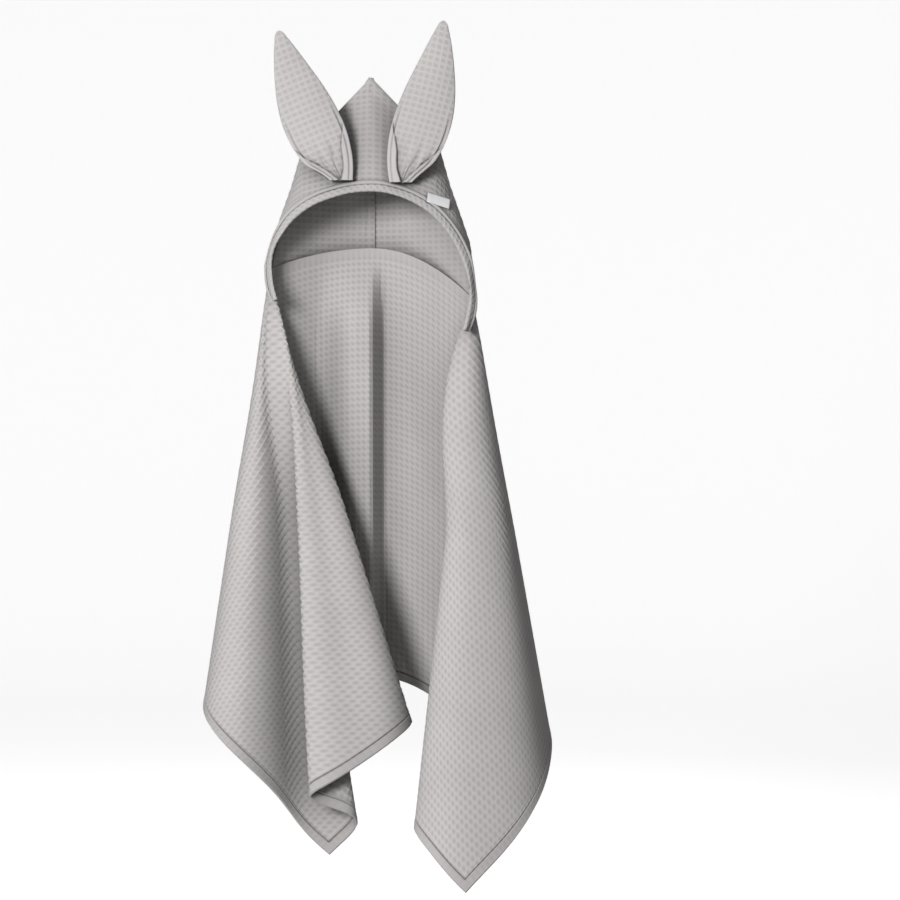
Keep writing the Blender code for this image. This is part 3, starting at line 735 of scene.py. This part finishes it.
class TOWEL_OT_hood(bpy.types.Operator):
    """Make the hood's front panel and the two halves of its back"""
    bl_idname = "towel.hood"
    bl_label = "Hood"

    def execute(self, context):
        scene = context.scene
        body, hood, cloth = scene.towel_body, scene.towel_hood, scene.towel_cloth
        self.front_panel(body, hood, cloth)
        for side, node in ((-1.0, "hood_back_left"), (1.0, "hood_back_right")):
            self.back_half(body, hood, cloth, side, node)
        return {"FINISHED"}

    def front_panel(self, body, hood, cloth):
        share = np.linspace(-1.0, 1.0, 381)
        rows = np.linspace(0.0, 1.0, 96)[:, None]
        places = share[None, :] + 0.0 * rows
        depth = rows * band_depth(body, hood, share, 0.003)
        middle = face_surface(body, hood, places, depth)
        off_centre = np.abs(middle[..., 0])
        middle[..., 1] += hood.soften * (1.0 - depth) * smooth_step(depth / 0.15) * (
            np.hypot(off_centre, hood.soften_width) - off_centre)
        flat = panel_flat(places, depth)
        middle[..., 1] += 0.0022 * ripple(flat[..., 0], flat[..., 1], 5, 0.07) * (
            smooth_step(depth / 0.2) * smooth_step((1.0 - depth) / 0.2))
        cell_shade_masks, offsets = [], []
        beyond = (1.0 - depth) / (1.0 - band_depth(body, hood, share, hood.band))
        edge = smooth_step(rows * 0.15 / 0.004) * smooth_step((beyond - 0.85) / 0.2)
        for shift in (0.0, cloth.pitch / 2.0):
            height = waffle(flat[..., 0] + shift + cloth.pitch / 2.0, flat[..., 1] + shift,
                            cloth.pitch)
            offsets.append((cloth.core + cloth.relief * height) * (0.15 + 0.85 * edge))
            # Mask of the painted cell shade: it follows the waffle height, so the bottom of each
            # cell is painted darker.
            cell_shade_masks.append(0.25 + 0.75 * height)
        piece = cloth_piece("hood_front_cloth", middle, offsets[0], offsets[1], flat, cell_shade_masks,
                            material("waffle_cotton_grey"))
        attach(piece, "towel")
        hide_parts("hood_front_panel")

    def back_half(self, body, hood, cloth, side, node):
        down = np.linspace(PEAK_START, 1.0, 150)[:, None]
        across = np.linspace(0.0, 1.0, 84)[None, :]
        outer = roof_line(body, hood, side * down + 0.0 * across)
        outer[..., 1] += 0.0012
        seam = neck_seam(body, side * (1.0 - across) + 0.0 * down)
        top = roof_line(body, hood, np.array(side * PEAK_START)) * np.array([0.0, 1.0, 1.0])
        end = neck_seam(body, 0.0)
        centre = top + (end - top) * ((down - PEAK_START) / (1.0 - PEAK_START))[..., None]
        middle = outer + (centre - outer) * across[..., None]
        bottom = outer[-1, 0] + (end - outer[-1, 0]) * across[..., None]
        middle = middle + (seam - bottom) * (down ** 3)[..., None] * (across > 0.0)[..., None]
        middle[..., 1] += hood.bulge * np.sin(np.pi * down * 0.75) * np.sin(
            np.pi / 2.0 * across) + 0.0012
        overlap = (across ** 8)[..., None] * np.array([0.0032, -0.0012, 0.0])
        middle = middle + (overlap if side < 0.0 else 0.0)
        middle[..., 2] -= 0.004 * down ** 8 * (across > 0.0)
        flat = np.stack([middle[..., 0], -1.04 * middle[..., 2]], axis=-1)
        middle[..., 1] += 0.002 * ripple(flat[..., 0], flat[..., 1], 9, 0.08) * (
            smooth_step(across / 0.2) * smooth_step((1.0 - across) / 0.15))
        edge = (smooth_step(across * 0.13 / 0.004) * smooth_step((1.01 - across) * 0.13 / 0.003)
                * smooth_step((1.004 - down) * 0.25 / 0.003))
        cell_shade_masks, offsets = [], []
        for shift in (0.0, cloth.pitch / 2.0):
            height = waffle(flat[..., 0] + shift + cloth.pitch / 2.0, flat[..., 1] + shift,
                            cloth.pitch)
            offsets.append((cloth.core + cloth.relief * height) * (0.15 + 0.85 * edge))
            # Mask of the painted cell shade: it follows the waffle height, so the bottom of each
            # cell is painted darker.
            cell_shade_masks.append(0.25 + 0.75 * height)
        faces_front = grid_normals(middle)[down.size // 2, across.size // 2, 1] < 0.0
        inside = 0 if faces_front else 1
        if side < 0.0:
            folded = smooth_step((hood.tuck - np.abs(middle[..., 0])) / 0.0012)
            offsets[inside] = offsets[inside] + 0.0013 * folded
        piece = cloth_piece(node + "_cloth", middle, offsets[0], offsets[1], flat, cell_shade_masks,
                            material("waffle_cotton_grey"))
        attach(piece, "towel")
        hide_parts(node)


class TOWEL_OT_band(bpy.types.Operator):
    """Make the strip folded round the edge of the face opening, with its stitching"""
    bl_idname = "towel.band"
    bl_label = "Hood band"

    def execute(self, context):
        """A strip of bias cloth: down the front, round the edge in a half circle, and up."""
        scene = context.scene
        body, hood, cloth = scene.towel_body, scene.towel_hood, scene.towel_cloth
        share = np.linspace(-0.998, 0.998, 640)
        middle = face_surface(body, hood, share, band_depth(body, hood, share, hood.band / 2.0))
        edge = with_tail(opening_arch, body, hood, share)
        along = unit(np.gradient(middle, axis=0))
        toward = edge - middle
        toward = unit(toward - along * (toward * along).sum(axis=1, keepdims=True))
        out = unit(np.cross(along, toward))
        if out[len(share) // 2, 1] > 0.0:
            out = -out
        run = np.concatenate([[0.0], np.cumsum(np.linalg.norm(np.diff(middle, axis=0), axis=1))])
        bend = hood.band_thick / 2.0 - 0.0008
        leg = hood.band - hood.band_thick / 2.0
        turn = math.pi * bend
        path = np.linspace(0.0, 2.0 * leg + turn, 49)
        round_part = np.clip((path - leg) / bend, 0.0, math.pi)
        down = np.where(path < leg, path, np.where(path > leg + turn, 2.0 * leg + turn - path,
                                                   leg + bend * np.sin(round_part)))
        lift = bend * np.cos(round_part)
        u, v = np.meshgrid(run, path)
        slack = 0.0007 * ripple(u, v * 0.3, 21, 0.045)
        rolled = 0.0007 * bell(v - 0.0022, 0.0012) - 0.0008 * bell(v - 0.0048, 0.0009)
        wide = down[:, None] - hood.band / 2.0 + 0.0006 * ripple(u, 0.0 * v, 8, 0.05)
        points = (middle[None] + toward[None] * wide[..., None]
                  + out[None] * (lift[:, None] + (slack + rolled) * np.sign(lift)[:, None]
                                 )[..., None])
        bias = waffle((u + v) * 0.7071, (u - v) * 0.7071, cloth.pitch * 0.75)
        bias = np.where(v < 0.0042, 0.8, bias)
        edge_thin = smooth_step(v / 0.001) * smooth_step((path[-1] - v) / 0.001)
        outside = (0.0003 + 0.0008 * bias) * (0.25 + 0.75 * edge_thin)
        flat = np.stack([u, v], axis=-1)
        # The bias waffle also masks the painted cell shade, with a flat value on the rolled edge;
        # the inner face gets a flat 0.4.
        piece = cloth_piece("hood_band_cloth", points, outside, np.full(u.shape, 0.0002), flat,
                            [0.35 + 0.65 * bias, np.full(u.shape, 0.4)],
                            material("band_cotton_grey"), self.outward(points, out))
        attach(piece, "towel")
        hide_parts("hood_band")
        sewn = middle - toward * (hood.band / 2.0 - 0.0048) + out * (bend + 0.0006)
        thread = stitches("band_thread", sewn[6:-6], out[6:-6], 0.0034, 0.0026, 0.0003,
                          material("grey_thread"))
        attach(thread, "towel")
        return {"FINISHED"}

    def outward(self, points, out):
        """Grid normals, turned so that they point forwards on the front of the band."""
        normals = grid_normals(points)
        centre = points.shape[1] // 2
        return normals * np.sign(normals[4, centre].dot(out[centre]))


# ---------------------------------------------------------------- ears


def ear_half_width(ear, t):
    """Half width along the ear: a spline through shares of the greatest half width."""
    outline = ((0.0, ear.base_half / ear.half_width), *EAR_OUTLINE)
    shares = np.array([row[1] for row in outline])[:, None]
    return ear.half_width * spline([row[0] for row in outline], shares, t)[..., 0]


class TOWEL_OT_ears(bpy.types.Operator):
    """Make both ears, each of two layers sewn together round the edge"""
    bl_idname = "towel.ears"
    bl_label = "Rabbit ears"

    def execute(self, context):
        scene = context.scene
        ear, cloth = scene.towel_ears, scene.towel_cloth
        self.ear(ear, cloth, "left", ear.left_length, -23.0, -0.006)
        self.ear(ear, cloth, "right", ear.right_length, 15.0, 0.007)
        return {"FINISHED"}

    def ear(self, ear, cloth, side, reach, lean, curl):
        """Two layers over a leaf: t runs up it and u across it.

        Each layer stands off the leaf by a half sine wave up and a half circle across.
        Near the foot the front is gathered: both edges are folded over it, and between
        the two folds it dips in a valley with narrow pleats, all running to the foot.
        """
        joint = next(j for j in frame["record"]["behaviour"]["joints"]
                     if j["name"] == side + "_ear_flop")
        hinge = np.array(joint["pos_m"])
        lean = math.radians(lean)
        up = np.array([math.sin(lean), 0.0, math.cos(lean)])
        across = np.array([math.cos(lean), 0.0, -math.sin(lean)])
        t = np.linspace(0.0, 1.0, 150)[:, None]
        t = t + 0.05 * np.sin(math.tau * t) / math.tau
        t = 1.0 - (1.0 - t) ** 1.25
        u = np.sin(np.linspace(-0.5, 0.5, 91) * math.pi * 0.8)[None, :] / math.sin(0.4 * math.pi)
        width = ear_half_width(ear, t)
        flat = np.stack([width * u, t * reach + 0.0 * u], axis=-1)
        level = np.array([1.0, 0.0, 0.0])
        out = unit(level + (across - level) * smooth_step(t / 0.2)[..., None])
        bow = 4.0 * t * (1.0 - t) * curl
        middle = (hinge + up * (EAR_LIFT + t * (reach - EAR_LIFT))[..., None]
                  + out * (bow + width * u)[..., None])
        middle[..., 1] += 0.003 * np.sin(np.pi * t) * u * u + 0.0012 * ripple(
            flat[..., 0], flat[..., 1], 31 if side == "left" else 37, 0.09)
        s = u if side == "left" else -u
        from_rim = np.minimum(width * (1.0 - np.abs(u)), (1.0 - t) * reach * 0.6)
        swell = np.sqrt(np.clip(1.0 - u ** 2, 0.0, 1.0)) * np.sin(np.pi * (0.12 + 0.86 * t))
        foot = 1.0 - smooth_step(t / 0.36)
        inner_fold = self.fold(width * (1.0 - s), 0.0150, ear.strip, t, 0.16, 0.22)
        outer_fold = self.fold(width * (1.0 + s), 0.0118, ear.strip * 0.86, t, 0.10, 0.24)
        valley = np.clip(1.0 - inner_fold - outer_fold, 0.0, 1.0)
        pleats = (-1.3 * bell(s - 0.30, 0.16) - 0.7 * bell(s + 0.28, 0.12)
                  + 0.6 * bell(s + 0.02, 0.12) + 0.5 * bell(s + 0.50, 0.10)
                  - 0.5 * bell(s + 0.70, 0.08))
        low_part = 1.0 - smooth_step((t - 0.34) / 0.14)
        rim = (1.0 - smooth_step((from_rim - ear.rim) / 0.0010)) * low_part
        sewn = bell(from_rim - ear.rim * 0.8, 0.0007) * low_part
        for name, way in (("front", -1.0), ("back", 1.0)):
            folds = inner_fold if way < 0.0 else 0.0 * inner_fold
            smooth_part = np.clip(rim + folds + 0.35 * outer_fold * (way < 0.0), 0.0, 1.0)
            height = waffle(flat[..., 0] + cloth.pitch / 2.0, flat[..., 1], cloth.pitch)
            height = height * (1.0 - smooth_part) + 0.30 * smooth_part
            raised = 0.0003 + ear.puff * swell * (1.0 - 0.8 * rim)
            if way < 0.0:
                raised = (raised + ear.pleat * foot * pleats * valley * (0.4 + 0.6 * foot)
                          + inner_fold * (0.0026 + 0.0022 * foot)
                          + outer_fold * (0.0020 + 0.0018 * foot)
                          - 0.0030 * foot * foot * valley)
            else:
                raised = raised + 0.4 * ear.pleat * foot * pleats * np.sqrt(
                    np.clip(1.0 - u ** 2, 0.0, 1.0))
            raised = np.maximum(raised, 0.00025)
            layer = middle.copy()
            layer[..., 1] += way * raised
            normals = grid_normals(layer)
            normals = normals * np.sign(normals[t.size // 2, u.size // 2, 1]) * way
            edge = smooth_step(from_rim / 0.0012)
            outside = (cloth.core + cloth.relief * 0.95 * height - 0.0005 * sewn) * (
                0.3 + 0.7 * edge)
            # Mask of the painted cell shade: darker towards the bottom of each waffle cell and
            # lighter on the smooth rim and folds; the inner face gets a flat 0.4.
            piece = cloth_piece(f"{side}_ear_{name}_cloth", layer, outside,
                                np.full(outside.shape, 0.0002), flat,
                                [0.25 + 0.75 * np.maximum(height, 0.9 * smooth_part),
                                 0.4 + 0.0 * height],
                                material("waffle_cotton_grey"), normals)
            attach(piece, side + "_ear")
            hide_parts(f"{side}_ear_{name}")
            if name == "front":
                self.sew_rim(ear, layer + normals * outside[..., None], normals, u[0], width,
                             side)

    def fold(self, from_edge, foot_width, fold_width, t, keep, fade):
        """1 on an edge folded over: foot_width at the foot, then fold_width, then fading."""
        wide = foot_width + (fold_width - foot_width) * smooth_step(t / 0.1)
        wide = wide * (1.0 - smooth_step((t - keep) / fade))
        return smooth_step((wide - from_edge) / 0.0016) * smooth_step(wide / 0.003)

    def sew_rim(self, ear, surface, normals, u, width, side):
        """Topstitching a little inside the rim, up one edge and down the other."""
        rows = np.arange(4, surface.shape[0] * 2 // 5)
        share = 1.0 - np.clip(ear.rim * 0.8 / width[rows, 0], 0.0, 0.9)
        lines = []
        for way in (-1.0, 1.0):
            place = np.interp(way * share, u, np.arange(u.size))
            low = np.minimum(np.floor(place).astype(int), u.size - 2)
            part = (place - low)[:, None]
            lines.append([grid[rows, low] * (1.0 - part) + grid[rows, low + 1] * part
                          for grid in (surface, normals)])
        for name, (path, facing) in zip(("inner", "outer"), lines):
            thread = stitches(f"{side}_ear_{name}_thread", path - facing * 0.0001, facing,
                              0.0032, 0.0024, 0.00026, material("grey_thread"))
            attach(thread, side + "_ear")


class TOWEL_OT_label(bpy.types.Operator):
    """Make the blank folded tape label sewn in above the band"""
    bl_idname = "towel.label"
    bl_label = "Blank label"

    def execute(self, context):
        low, high = (np.array(c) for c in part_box("woven_label"))
        joint = next(j for j in frame["record"]["behaviour"]["joints"]
                     if j["name"] == "label_flip")
        root = np.array(joint["pos_m"])
        along = unit(np.array(joint["axis"]))
        centre = (low + high) / 2.0
        up = centre - root
        up = unit(up - along * up.dot(along))
        out = np.cross(along, up)
        u = np.linspace(-0.5, 0.5, 33)[None, :]
        v = np.linspace(LABEL_HIDDEN, 1.0, 17)[:, None]
        arch = 0.0006 * np.sin(np.pi * v) * (1.0 + 0.3 * u) + 0.0 * u
        middle = (root + along * (u * LABEL_WIDTH)[..., None] + up * (v * LABEL_HEIGHT)[..., None]
                  + out * arch[..., None])
        edge = (smooth_step((0.5 - np.abs(u)) * LABEL_WIDTH / 0.0008)
                * smooth_step((1.0 - v) * LABEL_HEIGHT / 0.001))
        half = (0.00012 + 0.00026 * edge) + 0.0 * u * v
        flat = np.stack([u * LABEL_WIDTH + 0.0 * v, v * LABEL_HEIGHT + 0.0 * u], axis=-1)
        piece = cloth_piece("woven_label_tape", middle, half, half, flat,
                            [np.ones(half.shape), np.ones(half.shape)], material("white_tape"))
        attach(piece, "label")
        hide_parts("woven_label")
        return {"FINISHED"}


# ---------------------------------------------------------------- stage


class TOWEL_OT_stage(bpy.types.Operator):
    """Set out the pale floor, the soft studio light and the camera"""
    bl_idname = "towel.stage"
    bl_label = "Stage"

    def execute(self, context):
        scene = context.scene
        stage = scene.towel_stage
        scene.view_settings.view_transform = "Standard"
        self.floor(stage)
        self.world(scene)
        for name, place, size, power in (
                ("key_light", (-1.3, -3.1, 0.25), 0.9, stage.key),
                ("fill_light", (0.4, -3.4, 0.5), 1.8, stage.fill),
                ("back_light", (0.6, 2.6, 0.8), 1.6, stage.fill)):
            light = bpy.data.lights.new(name, "AREA")
            light.energy = power
            light.size = size
            lamp = bpy.data.objects.new(name, light)
            lamp.location = place
            aim = np.array([0.0, 0.0, -0.5]) - np.array(place)
            turn = math.atan2(aim[0], -aim[1])
            tilt = math.atan2(math.hypot(aim[0], aim[1]), -aim[2])
            lamp.rotation_euler = (tilt, 0.0, turn + math.pi)
            scene.collection.objects.link(lamp)
        data = bpy.data.cameras.new("camera")
        data.lens = stage.lens
        camera = bpy.data.objects.new("camera", data)
        camera.location = (stage.camera_x, -stage.distance, stage.camera_z)
        camera.rotation_euler = (math.pi / 2.0, 0.0, 0.0)
        scene.collection.objects.link(camera)
        scene.camera = camera
        return {"FINISHED"}

    def floor(self, stage):
        """A floor that curves up into a wall all round: a profile turned about the Z axis.

        Its material is pale and glows a little where the camera sees it directly.
        """
        angle = np.linspace(0.0, math.tau, 96, endpoint=False)
        bend = np.linspace(0.0, math.pi / 2.0, 16)
        radius = np.concatenate([[0.02, 2.0, 4.0], 5.0 + 3.0 * np.sin(bend), [8.0]])
        height = np.concatenate([[0.0] * 3, 3.0 - 3.0 * np.cos(bend), [7.0]])
        points = np.stack([radius[:, None] * np.cos(angle), radius[:, None] * np.sin(angle),
                           stage.floor_z + height[:, None] + 0.0 * angle], axis=-1)
        quads = grid_quads(*points.shape[:2], round_rows=True)
        mat = plain_material("pale_floor", (0.82, 0.82, 0.82), 0.9)
        tree = mat.node_tree
        shader = tree.nodes["Principled BSDF"]
        path = add_node(tree, "ShaderNodeLightPath", (-600, 0))
        tone = add_node(tree, "ShaderNodeMix", (-300, 0), data_type="RGBA")
        tone.inputs["A"].default_value = (0.35, 0.35, 0.35, 1.0)
        tone.inputs["B"].default_value = (0.9, 0.9, 0.9, 1.0)
        tree.links.new(path.outputs["Is Camera Ray"], tone.inputs["Factor"])
        tree.links.new(tone.outputs["Result"], shader.inputs["Base Color"])
        glow = add_node(tree, "ShaderNodeMath", (-300, -250), operation="MULTIPLY")
        glow.inputs[1].default_value = 0.75
        tree.links.new(path.outputs["Is Camera Ray"], glow.inputs[0])
        shader.inputs["Emission Color"].default_value = (1.0, 1.0, 1.0, 1.0)
        tree.links.new(glow.outputs[0], shader.inputs["Emission Strength"])
        floor = make_piece("studio_floor", points.reshape(-1, 3), quads, mat, sharp=180.0)

    def world(self, scene):
        world = bpy.data.worlds.new("studio")
        world.use_nodes = True
        back = world.node_tree.nodes["Background"]
        back.inputs["Color"].default_value = (1.0, 1.0, 1.0, 1.0)
        back.inputs["Strength"].default_value = 0.27
        scene.world = world


# ---------------------------------------------------------------- add-on


class TOWEL_PT_panel(bpy.types.Panel):
    """Lists the towel's pieces in the sidebar"""
    bl_label = "Hooded towel"
    bl_idname = "TOWEL_PT_panel"
    bl_space_type = "VIEW_3D"
    bl_region_type = "UI"
    bl_category = "Towel"

    def draw(self, context):
        for operator in OPERATORS:
            self.layout.operator(operator.bl_idname)


OPERATORS = (TOWEL_OT_body, TOWEL_OT_hood, TOWEL_OT_band, TOWEL_OT_ears, TOWEL_OT_label,
             TOWEL_OT_stage)
GROUPS = {"towel_cloth": ClothSettings, "towel_body": BodySettings, "towel_hood": HoodSettings,
          "towel_ears": EarSettings, "towel_stage": StageSettings}


def register():
    for group in (*GROUPS.values(), *OPERATORS, TOWEL_PT_panel):
        bpy.utils.register_class(group)
    for name, group in GROUPS.items():
        setattr(bpy.types.Scene, name, PointerProperty(type=group))


def unregister():
    for name in GROUPS:
        delattr(bpy.types.Scene, name)
    for group in (TOWEL_PT_panel, *reversed(OPERATORS), *GROUPS.values()):
        bpy.utils.unregister_class(group)


def main():
    register()
    bpy.ops.towel.body()
    bpy.ops.towel.hood()
    bpy.ops.towel.band()
    bpy.ops.towel.ears()
    bpy.ops.towel.label()
    bpy.ops.towel.stage()


if __name__ == "__main__":
    main()
